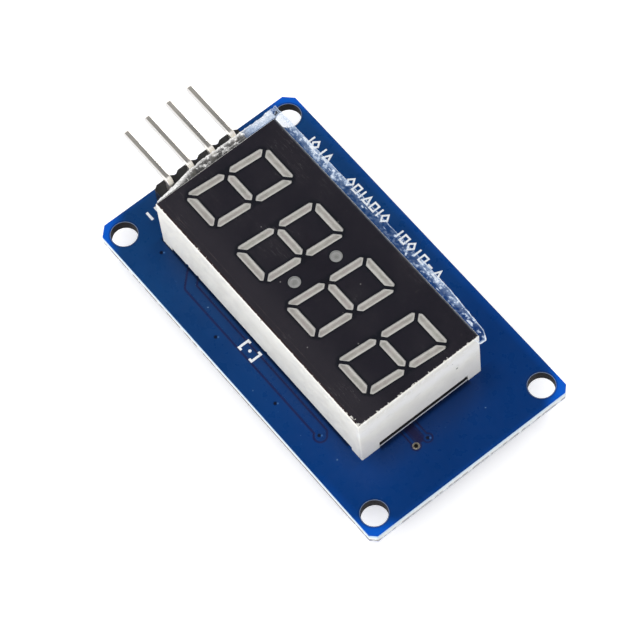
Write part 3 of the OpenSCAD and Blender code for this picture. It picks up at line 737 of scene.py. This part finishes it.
def resin_finish(name, dark, light, warm, rim=None):
    """Clouded resin between two tints, with warm patches, and a paler rim, a
    painted highlight, by the way out where the piece has one."""
    material, tree, shader, place = new_finish(name)
    clouds = noise(tree, place, 1.7, detail=5, roughness=0.6)
    patches = noise(tree, vector_of(tree, "ADD", place, (7, 3, 0)), 0.8, detail=2)
    core = layered(
        tree, dark,
        (step(tree, clouds, 0.32, 0.68), light),
        (step(tree, patches, 0.45, 0.7, 0.0, 0.6), warm),
    )
    if rim:
        way = put(tree, "Attribute", attribute_name="way_out").outputs["Fac"]
        x, y = (times(tree, axis, 0.28) for axis in axes_of(tree, place)[:2])
        grained = put(tree, "CombineXYZ", {0: x, 1: y, 2: times(tree, way, 2.1)}).outputs[0]
        streaks = noise(tree, grained, 1.5, detail=3)
        way = plus(tree, way, step(tree, clouds, 0.3, 0.7, -0.07, 0.07))
        core = layered(
            tree, core,
            (step(tree, streaks, 0.42, 0.62, 0.0, 0.5), warm),
            (step(tree, streaks, 0.46, 0.32, 0.0, 0.35), (0.40, 0.41, 0.36)),
            (step(tree, way, 0.12, 0.84), rim),
        )
    paint(tree, shader, core, 0.38, 0.35)
    bump(tree, shader, clouds, 0.008 * MM)
    return material


display_mid = (shell_low[:2] + shell_high[:2]) / 2
resin_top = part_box("digit_1")[1].z / MM
core_tints = ((0.285, 0.278, 0.246), (0.370, 0.358, 0.322), (0.360, 0.312, 0.300))
cast_resin = resin_finish("cast_resin", *core_tints)
wear(cast_resin, "digit_1", "digit_2", "digit_3", "digit_4", "colon_dots")
# The segments' paler rim is a painted highlight.
segment_resin = resin_finish("segment_face", *core_tints, rim=(0.575, 0.56, 0.525))
for number in range(4):
    centre = display_mid + ((number - 1.5) * DIGIT_PITCH, 0)
    lenses = []
    for corners in segment_corners():
        outline = rounded_outline(corners, 0.07, 132)
        long_way = int(np.ptp(corners[:, 1]) > np.ptp(corners[:, 0]))
        offset = np.zeros(2)
        offset[long_way] = np.ptp(corners[:, long_way]) / 2 - STROKE * 0.55
        spine = corners.mean(0) + np.array([-offset, offset])
        for flat in (outline, spine):
            flat[:, 0] += flat[:, 1] * LEAN
        lenses.append((outline + centre, spine + centre, 0.045, 7))
    resin_face("digit_face_%d" % (number + 1), lenses, segment_resin)

dot_tints = ((0.140, 0.140, 0.134), (0.215, 0.215, 0.206), (0.190, 0.184, 0.176))
# The dots' paler rim is a painted highlight.
dot_rim_light = (0.315, 0.315, 0.305)
dot_resin = resin_finish("dot_face", *dot_tints, rim=dot_rim_light)
dot_centres = [display_mid + (rise * LEAN, rise) for rise in (-DOT_RISE, DOT_RISE)]
dot_outline = circle(DOT_RADIUS, 72)
lenses = [(dot_outline + c, np.array([c, c]), 0.05, 9) for c in dot_centres]
resin_face("colon_faces", lenses, dot_resin)

# -------- face ink
# Black print rolled onto the shell's face. It has worn off in small chips
# along the near edge and at the corners, where the white plastic shows, and
# has faint brown rubs, scratches and settled dust.

material, tree, shader, place = new_finish("face_print")
x, y = axes_of(tree, place)[:2]
ink_low, ink_high = (np.array(corner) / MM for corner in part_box("face_ink"))
cloud = noise(tree, place, 0.16, detail=3)
flat = flat_place(tree, place)

# How far the point lies from the nearest segment or dot, all digits folded
# into one upright quarter of a digit.
centred = axes_of(tree, vector_of(tree, "SUBTRACT", flat, (*display_mid, 0)))
upright = minus(tree, centred["X"], times(tree, centred["Y"], LEAN))
in_digit = minus(tree, maths(tree, "FLOORED_MODULO", upright, DIGIT_PITCH), DIGIT_PITCH / 2)
folded = put(tree, "CombineXYZ", {"X": in_digit, "Y": centred["Y"]}).outputs[0]
folded = vector_of(tree, "ABSOLUTE", folded)
mid_x, mid_y = (DIGIT_WIDTH - STROKE) / 2, (DIGIT_HEIGHT - STROKE) / 2
strokes = least(
    tree,
    run_distance(tree, folded, (0, 0), (mid_x - 0.5, 0)),
    run_distance(tree, folded, (0, mid_y), (mid_x - 0.3, mid_y)),
    run_distance(tree, folded, (mid_x, 0.5), (mid_x, mid_y - 0.3)),
)
to_dot = minus(tree, spot_distance(tree, flat, *dot_centres), DOT_RADIUS)
to_light = least(tree, minus(tree, strokes, STROKE / 2), to_dot)

# Rubs, scratches, a thin worn line along the near edge, and distances to edges.
rubs = noise(tree, place, 2.2, detail=6, roughness=0.7, stretch=(1, 0.5, 1))
scratch = noise(tree, place, 1.2, detail=2, stretch=(0.25, 3.0, 1))
scratch = line_at(tree, scratch, 0.5, 0.006, 0.006)
scratch = times(tree, scratch, step(tree, cloud, 0.50, 0.62, 0.0, 0.35))
patches = step(tree, noise(tree, place, 0.45, detail=2), 0.50, 0.62)
from_near = minus(tree, y, ink_low[1])
from_end = least(tree, minus(tree, x, ink_low[0]), minus(tree, ink_high[0], x))
thin_line = line_at(tree, maths(tree, "MULTIPLY_ADD", rubs, 0.12, from_near), 0.72, 0.02, 0.04)
thin_line = times(tree, thin_line, maths(tree, "MULTIPLY_ADD", patches, 0.5, 0.15))

# Chips: the print is gone where the noise reaches in from its near edge and ends.
tattered = noise(tree, place, 3.2, detail=4)
near_corner = step(tree, x, 11.5, 13.5)
where = most(tree, times(tree, patches, 0.8), near_corner)
near_reach = plus(
    tree,
    times(tree, step(tree, tattered, 0.58, 0.80, 0.0, 0.30), where),
    step(tree, tattered, 0.50, 0.70, 0.0, 0.05),
    times(tree, step(tree, tattered, 0.50, 0.62, 0.0, 0.26), near_corner),
)
end_reach = times(tree, near_reach, 0.35)
chips = least(tree, minus(tree, from_near, near_reach), minus(tree, from_end, end_reach))
black = layered(
    tree, (0.0088, 0.0056, 0.0086),
    (step(tree, cloud, 0.3, 0.7), (0.0148, 0.0108, 0.0136)),
    # Painted reflection: the print is lighter towards the near edge.
    (step(tree, y, -2.5, -6.5, 0.0, 0.9), (0.0218, 0.0172, 0.0208)),
    (step(tree, to_light, 0.34, 0.08, 0.0, 0.85), (0.0020, 0.0010, 0.0022)),
    (step(tree, rubs, 0.62, 0.78, 0.0, 0.30), (0.085, 0.068, 0.058)),
    (scratch, (0.12, 0.11, 0.11)),
    (scattered(tree, place, 0.55, 0.050, 0.7), (0.22, 0.21, 0.20)),
    (thin_line, (0.085, 0.060, 0.055)),
    (step(tree, from_near, 0.26, 0.05, 0.0, 0.75), (0.030, 0.011, 0.010)),
    (step(tree, chips, 0.025, -0.025), (0.64, 0.62, 0.58)),
    # The paler ring round each dot carries the dots' painted rim highlight onto the print.
    (step(tree, to_dot, 0.075, 0.035), dot_rim_light),
)
paint(tree, shader, black, 0.30, 0.12)
bump(tree, shader, rubs, 0.006 * MM)
wear(material, "face_ink")

# -------- protective film
# A clear film still covers the face. Past the header side and the far side it
# hangs over the edge, where it is hazy, and crinkled above the header, with
# painted silvery highlights. Its cut edge stands up, with a painted highlight
# along it as a bright broken line.

FILM_STANDOFF, FILM_THICKNESS, FILM_POINTS = 0.02, 0.03, 1700
HEADER_EDGE_X = -15.9
PRESSED_RING, RING_RADIUS = (-16.44, 7.08), 0.17
film_corners = np.array(
    [
        (-15.90, -7.35), (14.10, -7.42), (14.14, 6.10), (14.88, 6.22), (14.92, 7.00),
        (13.95, 7.42), (11.50, 7.58), (9.00, 7.76), (3.00, 7.75), (-4.00, 7.78),
        (-10.00, 7.67), (-17.05, 7.60), (-16.92, 5.20), (-17.00, 1.50), (-17.02, -1.30),
        (-16.90, -3.00), (-16.66, -4.40), (-16.26, -6.30), (-16.14, -7.30),
    ]
)


def smooth_noise(x, y, cell, seed):
    """Value noise from 0 to 1: random numbers on a square grid, blended by
    smooth steps between the four nearest."""
    table = np.random.default_rng(seed).random((256, 256))
    u, v = x / cell + 300, y / cell + 300
    i, j = np.floor(u).astype(int), np.floor(v).astype(int)
    a, b = u - i, v - j
    a, b = a * a * (3 - 2 * a), b * b * (3 - 2 * b)
    at = lambda p, q: table[p % 256, q % 256]
    low = at(i, j) * (1 - a) + at(i + 1, j) * a
    high = at(i, j + 1) * (1 - a) + at(i + 1, j + 1) * a
    return low * (1 - b) + high * b


def ramp(value, start, end):
    """0 before start, 1 past end, and an S curve between them."""
    share = np.clip((value - start) / (end - start), 0, 1)
    return share * share * (3 - 2 * share)


def hump(value, middle, width):
    """1 at the middle, falling off to both sides by the bell curve."""
    return np.exp(-(((value - middle) / width) ** 2))


# The sheet: rings of points from the display's middle out to where the film
# leaves the face, and on to its torn edge.
face_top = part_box("face_ink")[1].z / MM
outline = rounded_outline(film_corners, 0.10, FILM_POINTS)
jag = smooth_noise(*outline.T, 0.45, 11) + 0.5 * smooth_noise(*outline.T, 0.18, 12) - 0.75
outline += 0.05 * jag[:, None] * np.sign(outline - display_mid)
inner = outline + 0.03 * np.sign(display_mid - outline)
inner = np.clip(inner, shell_low[:2] + (0.12, 0.14), shell_high[:2] - (0.06, 0.26))
reach = np.hypot(*(display_mid - inner).T)
inward = (display_mid - inner) / reach[:, None]
width = np.hypot(*(outline - inner).T)
inside = [reach, np.maximum(reach * 0.5, 0.8)]
inside += [np.full(len(outline), depth) for depth in (0.6, 0.3, 0.15, 0.07)]
outside = np.linspace(0, 1, 21)
flat = [inner + depth[:, None] * inward for depth in inside]
flat += [inner + way * (outline - inner) for way in outside]
over = np.array([0 * width for _ in inside] + [way * width for way in outside]).ravel()
to_edge = [width + depth for depth in inside] + [(1 - way) * width for way in outside]
to_edge = np.array(to_edge).ravel()
x, y = np.array(flat).reshape(-1, 2).T
grown = np.clip(over / np.where(x < HEADER_EDGE_X, 0.13, 0.25), 0, 1)
low, mid, fine = (
    smooth_noise(x, y, cell, seed) for cell, seed in ((0.62, 21), (0.30, 22), (0.15, 23))
)
streaks = smooth_noise(x + 0.6 * y, y * 3.2, 0.5, 24)
folds = smooth_noise(x * 1.9, y, 0.42, 25)

# Haze past the far side: a thin veil, denser near both ends, with flecks.
loose_corner = ramp(x, 3, 6) * ramp(x, 12, 9.5) * ramp(y, 6.9, 7.4)
towards_header = ramp(x, -3, -12) * ramp(over, 0.0, 0.7)
haze_far = 0.008 + 0.20 * loose_corner + 0.030 * np.clip(over / 0.8, 0, 1)
haze_far += 0.115 * towards_header + 0.20 * ramp(x, -5, -10) * ramp(y, 7.2, 7.5)
haze_far *= (0.4 + 1.2 * low) * (0.5 + mid)
haze_far += 0.05 * (mid - 0.5) + 0.10 * (fine - 0.5) * (0.4 + low)
flecks = ramp(fine * (0.6 + 0.8 * mid), 0.66, 0.86) * ramp(over, 0.20, 0.55)
haze_far += 0.34 * flecks * np.maximum(ramp(x, -4, -9), ramp(x, 1, 4))
haze_far += 0.60 * ramp(streaks * (0.70 + 0.6 * low), 0.90, 1.02) * ramp(over, 0.10, 0.40)

# Haze above the header: painted highlights along the creases, milky at the
# far corner, where a small ring is pressed into it, and clear at the near one.
creased = ramp(np.abs(folds - 0.5), 0.13, 0.03) * ramp(mid, 0.28, 0.52)
haze_head = 0.02 + 0.07 * low + 0.85 * creased * ramp(low, 0.2, 0.6)
haze_head += 0.5 * ramp(fine * mid, 0.42, 0.55)
haze_head *= 0.70 + 1.55 * ramp(over, 0.42, 0.68)
milky_head = 0.44 + 0.16 * ramp(over, 0.15, 0.6) + 0.14 * ramp(over, 0.5, 0.7)
milky_head += 0.14 * ramp(y, 4.2, 6.0) + 0.12 * (mid - 0.5) + 0.10 * (fine - 0.5)
haze_head += ramp(y, 2.6, 5.2) * (milky_head - haze_head)
haze_head *= 0.35 + 0.65 * ramp(y, -6.2, -3.6)
haze_head *= 1 - 0.75 * ramp(np.minimum(y - 6.75, HEADER_EDGE_X - x), 0.0, 0.25)
from_ring = np.hypot(x - PRESSED_RING[0], y - PRESSED_RING[1])
haze_head -= 0.45 * hump(from_ring, RING_RADIUS, 0.06)

# Painted highlights: the bright line along the cut edge, and the light line
# where the film lifts off.
header_side = ramp(x, HEADER_EDGE_X - 0.05, HEADER_EDGE_X - 0.25)
crinkled = header_side * ramp(y, 4.6, 2.6)
edge_width = 0.055 + 0.15 * crinkled + 0.28 * crinkled * ramp(y, -2.6, -4.6)
edge_width += 0.06 * ramp(x, 14.2, 14.6) + 0.05 * ramp(x, 3, 6) * ramp(mid, 0.35, 0.6)
glare = 0.66 + 0.50 * crinkled + 0.30 * ramp(x, 4, 6.5) - 0.25 * ramp(x, -1, 1) * ramp(x, 6, 4)
edge_highlight = hump(to_edge, 0, edge_width) * glare * (0.55 + 0.9 * low)
lift_highlight = 0.10 * hump(over, 0.02, 0.05) * (0.5 + mid)
haze_and_highlights = np.clip(header_side * haze_head + (1 - header_side) * haze_far, 0.0, 0.92)
haze_and_highlights = np.maximum(haze_and_highlights * grown, edge_highlight * ramp(over, 0.02, 0.12)) + lift_highlight * grown
haze_and_highlights = np.clip(haze_and_highlights, 0, 0.97) * np.tile(ramp(width, 0.03, 0.15), len(inside) + len(outside))

crumple = header_side * (0.10 * creased + 0.10 * (mid - 0.5)) + 0.05 * (mid - 0.5)
crumple += 0.10 * (low - 0.5)
film_rise = grown * (crumple + 0.03 * hump(to_edge, 0, 0.06)) - 0.10 * over
points = np.column_stack([x, y, face_top + FILM_STANDOFF + film_rise])
quads = ring_faces(len(inside) + len(outside), len(outline))[:, ::-1].tolist()

material, tree, shader, place = new_finish("clear_film")
x, y = axes_of(tree, place)[:2]
# The attribute holds the film's haze together with its painted highlights.
haze = put(tree, "Attribute", attribute_name="haze_and_highlights").outputs["Fac"]
grit = noise(tree, place, 6.0, detail=4)
haze = maths(tree, "MULTIPLY", haze, step(tree, grit, 0.25, 0.75, 0.72, 1.22), clamp=True)
silvery = times(tree, step(tree, x, -15.8, -16.1), step(tree, y, 4.2, 3.0))
full = blend(tree, silvery, (0.90, 0.94, 1.0), (0.96, 0.955, 0.94))
thin = blend(tree, silvery, (0.52, 0.70, 0.97), (0.66, 0.65, 0.64))
paint(tree, shader, blend(tree, haze, thin, full), 0.20)
feed(tree, shader, {"Alpha": maths(tree, "MULTIPLY_ADD", haze, 0.994, 0.006)})
bump(tree, shader, grit, 0.008 * MM)
film = make_piece("film", points, quads, material, "film", values={"haze_and_highlights": haze_and_highlights})
thick = film.modifiers.new("film_thickness", "SOLIDIFY")
thick.thickness, thick.offset = FILM_THICKNESS * MM, 1.0
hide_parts("protective_film")

# -------- black plastic header
# The header's bar: black plastic, satin from its mould, notched at each pin
# and pushed down onto the board.


def black_plastic(name, dark, light, rough, grain_scale, grain_height):
    """Black plastic, clouded between two tints, with a fine moulded grain."""
    material, tree, shader, place = new_finish(name)
    cloud = noise(tree, place, 0.9, detail=4)
    tint = blend(tree, step(tree, cloud, 0.3, 0.7), dark, light)
    grain = noise(tree, place, grain_scale, detail=3)
    paint(tree, shader, tint, step(tree, grain, 0.3, 0.7, rough - 0.06, rough + 0.08), 0.4)
    bump(tree, shader, grain, grain_height)
    return material


header_plastic = black_plastic(
    "header_plastic", (0.008, 0.008, 0.009), (0.016, 0.015, 0.016), 0.38, 6, 0.008 * MM
)
wear(header_plastic, "header_base")

# -------- bent pins
# Square tinned wire, drawn with softened edges, cut to a blunt point and bent
# over above the bar. Each pin goes down through the bar and the board and out
# over the board's end.

PIN_HALF, PIN_EDGE, PIN_BEND, PIN_POINT = 0.32, 0.13, 0.5, 0.14
FLAT_MARGIN, POINT_MARGIN, PIN_TIP = 0.025, 0.05, 0.12
HEADER_PITCH = 2.54


def rounded_square(half, rounding):
    """A square whose corners are quarter circles, counter-clockwise. Each arc
    has a point just before it and one just after it, on the flats, so that
    the flats shade flat."""
    start = np.arange(4)[:, None] * math.pi / 2
    angle = start + np.linspace(0, math.pi / 2, 6)
    corner = np.stack([np.cos(start + math.pi / 4), np.sin(start + math.pi / 4)], -1)
    corner *= (half - rounding) * math.sqrt(2)
    arc = corner + rounding * np.stack([np.cos(angle), np.sin(angle)], -1)
    before = arc[:, :1] - FLAT_MARGIN * np.stack([-np.sin(start), np.cos(start)], -1)
    after = arc[:, -1:] + FLAT_MARGIN * np.stack([-np.cos(start), -np.sin(start)], -1)
    return np.concatenate([before, arc, after], axis=1).reshape(-1, 2)


def bent_wire(y, foot, corner, tip_x):
    """A square section carried along a path that rises from the foot, turns a
    quarter circle below the corner and runs to the tip. At each point the
    section stands across the path's direction. Both ends taper, with flat
    shaded facets. Returns points, faces and which faces are smooth."""
    angle = np.linspace(0, math.pi / 2, 13)
    lean_x = corner[0] - PIN_BEND + PIN_BEND * np.cos(angle)
    lean_z = corner[1] - PIN_BEND + PIN_BEND * np.sin(angle)
    taper = PIN_POINT + POINT_MARGIN
    path = np.vstack(
        [
            [(corner[0], foot + up) for up in (0, PIN_POINT, taper)],
            np.stack([lean_x, lean_z], 1),
            [(tip_x + back, corner[1]) for back in (taper, PIN_POINT, 0)],
        ]
    )
    ahead = np.gradient(path, axis=0)
    ahead /= np.hypot(*ahead.T)[:, None]
    upward = np.stack([-ahead[:, 1], ahead[:, 0]], 1)
    size = np.ones(len(path))
    size[[0, -1]] = 1 - PIN_POINT / PIN_HALF
    section = rounded_square(PIN_HALF, PIN_EDGE)
    across, up = size[:, None] * section[:, 0], size[:, None] * section[:, 1]
    points = [path[:, :1] + up * upward[:, :1], y + across, path[:, 1:] + up * upward[:, 1:]]
    around = len(section)
    smooth = np.ones(around * (len(path) - 1) + 2, bool)
    smooth[:around], smooth[-around - 2 :] = False, False
    return np.stack(points, -1).reshape(-1, 3), tube_faces(len(path), around), smooth


def flank_shade(tree, place):
    """1 on a thin line of painted shade along one flank of each pin, past the bar."""
    x, y = axes_of(tree, place)[:2]
    across = maths(tree, "FLOORED_MODULO", minus(tree, y, 0.1), HEADER_PITCH)
    return times(tree, step(tree, x, -19.2, -19.5), line_at(tree, across, 0.47, 0.07, 0.03))


# The shade along one flank of each pin is painted.
square_tin = metal_finish(
    "square_pin_tin", (0.99, 0.955, 0.90), (0.90, 0.85, 0.78), 1.6, (0.15, 1, 0.3),
    0.26, 0.36, 0.25, shades=[(flank_shade, (0.66, 0.65, 0.64))],
)
for number in range(4):
    low, high = (np.array(corner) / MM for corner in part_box("header_pin_%d" % (number + 1)))
    bend = (high[0] - PIN_HALF, high[2] - PIN_HALF)
    points, faces, smooth = bent_wire((low[1] + high[1]) / 2, low[2], bend, low[0] - PIN_TIP)
    pin = make_piece("bent_pin_%d" % (number + 1), points, faces, square_tin, "pin_metal", smooth)
    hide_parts("header_pin_%d" % (number + 1))

# -------- display pins and solder
# The display's pins are round tinned wire. The joints are bright solder, and
# the same tin covers the leads, pads and end caps.

round_tin = metal_finish("round_pin_tin", (0.70, 0.68, 0.63), (0.55, 0.53, 0.49), 3.0, (1, 1, 0.2))
wear(round_tin, *["display_pin_%d" % (i + 1) for i in range(12)])
bright, dull = (0.78, 0.78, 0.79), (0.58, 0.59, 0.61)
solder = metal_finish("solder", bright, dull, 1.6, smooth=0.14, rough=0.34)
wear(solder, "display_solder", "header_solder")
pad_tin = metal_finish("pad_tin", (0.76, 0.75, 0.73), (0.58, 0.57, 0.56), 3.4)
wear(pad_tin, "chip_leads", "end_caps", "solder_pads")

# -------- driver chip
# A moulded package soldered to the pads under the board, matt and finely
# grained, with a dimple that marks its first lead.

chip_compound = black_plastic(
    "chip_compound", (0.016, 0.016, 0.018), (0.028, 0.028, 0.030), 0.62, 14, 0.02 * MM
)
wear(chip_compound, "driver_chip")

# -------- small parts
# Fired ceramic bodies with tinned ends, soldered under the board: tan for the
# capacitors, black glaze for the resistors.


def ceramic(name, low, high, rough):
    """Speckled fired ceramic between two tints."""
    material, tree, shader, place = new_finish(name)
    speckle = noise(tree, place, 7.0, detail=4)
    tint = blend(tree, step(tree, speckle, 0.35, 0.65), low, high)
    paint(tree, shader, tint, rough)
    bump(tree, shader, speckle, 0.006 * MM)
    return material


capacitor_ceramic = ceramic("capacitor_ceramic", (0.36, 0.25, 0.15), (0.47, 0.34, 0.22), 0.45)
wear(capacitor_ceramic, "capacitor_1", "capacitor_2", "capacitor_3")
resistor_glaze = ceramic("resistor_glaze", (0.014, 0.014, 0.016), (0.030, 0.030, 0.034), 0.25)
wear(resistor_glaze, "resistor_1", "resistor_2")

# -------- floor and light
# A white table under a light tent whose top is open and dim. The floor looks
# white to the camera and in reflections, keeps the module's shadow, and has
# a painted pool of light where light comes down through the two far mounting
# holes.

FAR_HOLES = ((17.75, -9.15), (17.75, 10.9))
material = bpy.data.materials.new("white_table")
material.use_nodes = True
tree = material.node_tree
tree.nodes.clear()
path = put(tree, "LightPath").outputs
seen = most(tree, path["Is Camera Ray"], path["Is Glossy Ray"], path["Is Transmission Ray"])
lit, pale_lit = (
    put(tree, "BsdfDiffuse", {"Color": (white, white, white, 1)}).outputs[0]
    for white in (0.80, 0.94)
)
# Painted light: the table glows more under the two far holes.
from_hole = spot_distance(tree, flat_place(tree, place_in_mm(tree)), *FAR_HOLES)
strength = step(tree, from_hole, 3.3, 1.9, 0.365, 0.485)
glow = put(tree, "Emission", {"Color": (1, 1, 1, 1), "Strength": strength}).outputs[0]
both = put(tree, "AddShader", {0: pale_lit, 1: glow}).outputs[0]
mixed = put(tree, "MixShader", {0: seen, 1: lit, 2: both}).outputs[0]
put(tree, "OutputMaterial", {"Surface": mixed})
reach, table_z = 6.0, cad_box[0][2]
corners = [(x * reach, y * reach, table_z) for x, y in ((-1, -1), (1, -1), (1, 1), (-1, 1))]
mesh = bpy.data.meshes.new("table")
mesh.from_pydata(corners, [], [(0, 1, 2, 3)])
mesh.materials.append(material)
table = bpy.data.objects.new("table", mesh)
bpy.context.scene.collection.objects.link(table)

TENT_LIGHT, TENT_OPENING, TENT_LEAN = 1.14, 0.16, -0.22
OPENING_TOWARDS = (-0.349, 0.399, 0.848)
world = bpy.data.worlds.new("light_tent")
bpy.context.scene.world = world
world.use_nodes = True
tree = world.node_tree
tree.nodes.clear()
direction = put(tree, "TexCoord").outputs["Generated"]
towards = vector_of(tree, "DOT_PRODUCT", direction, OPENING_TOWARDS)
tent = step(tree, towards, 0.80, 0.93, TENT_LIGHT, TENT_OPENING)
lean = maths(tree, "MULTIPLY_ADD", axes_of(tree, direction)["Y"], TENT_LEAN, 1.0)
from_camera = put(tree, "LightPath").outputs["Is Camera Ray"]
sockets = {0: from_camera, 2: times(tree, tent, lean), 3: 1.0}
strength = put(tree, "Mix", sockets, data_type="FLOAT").outputs[0]
background = put(tree, "Background", {"Color": (1, 1, 1, 1), "Strength": strength})
put(tree, "OutputWorld", {"Surface": background.outputs[0]})

key_data = bpy.data.lights.new("key", "AREA")
key_data.shape, key_data.size, key_data.energy = "DISK", 0.30, 1.5
key = bpy.data.objects.new("key", key_data)
bpy.context.scene.collection.objects.link(key)
key.location = (-0.38, 0.61, 0.42)
key.rotation_mode = "QUATERNION"
key.rotation_quaternion = key.location.to_track_quat("Z", "Y")
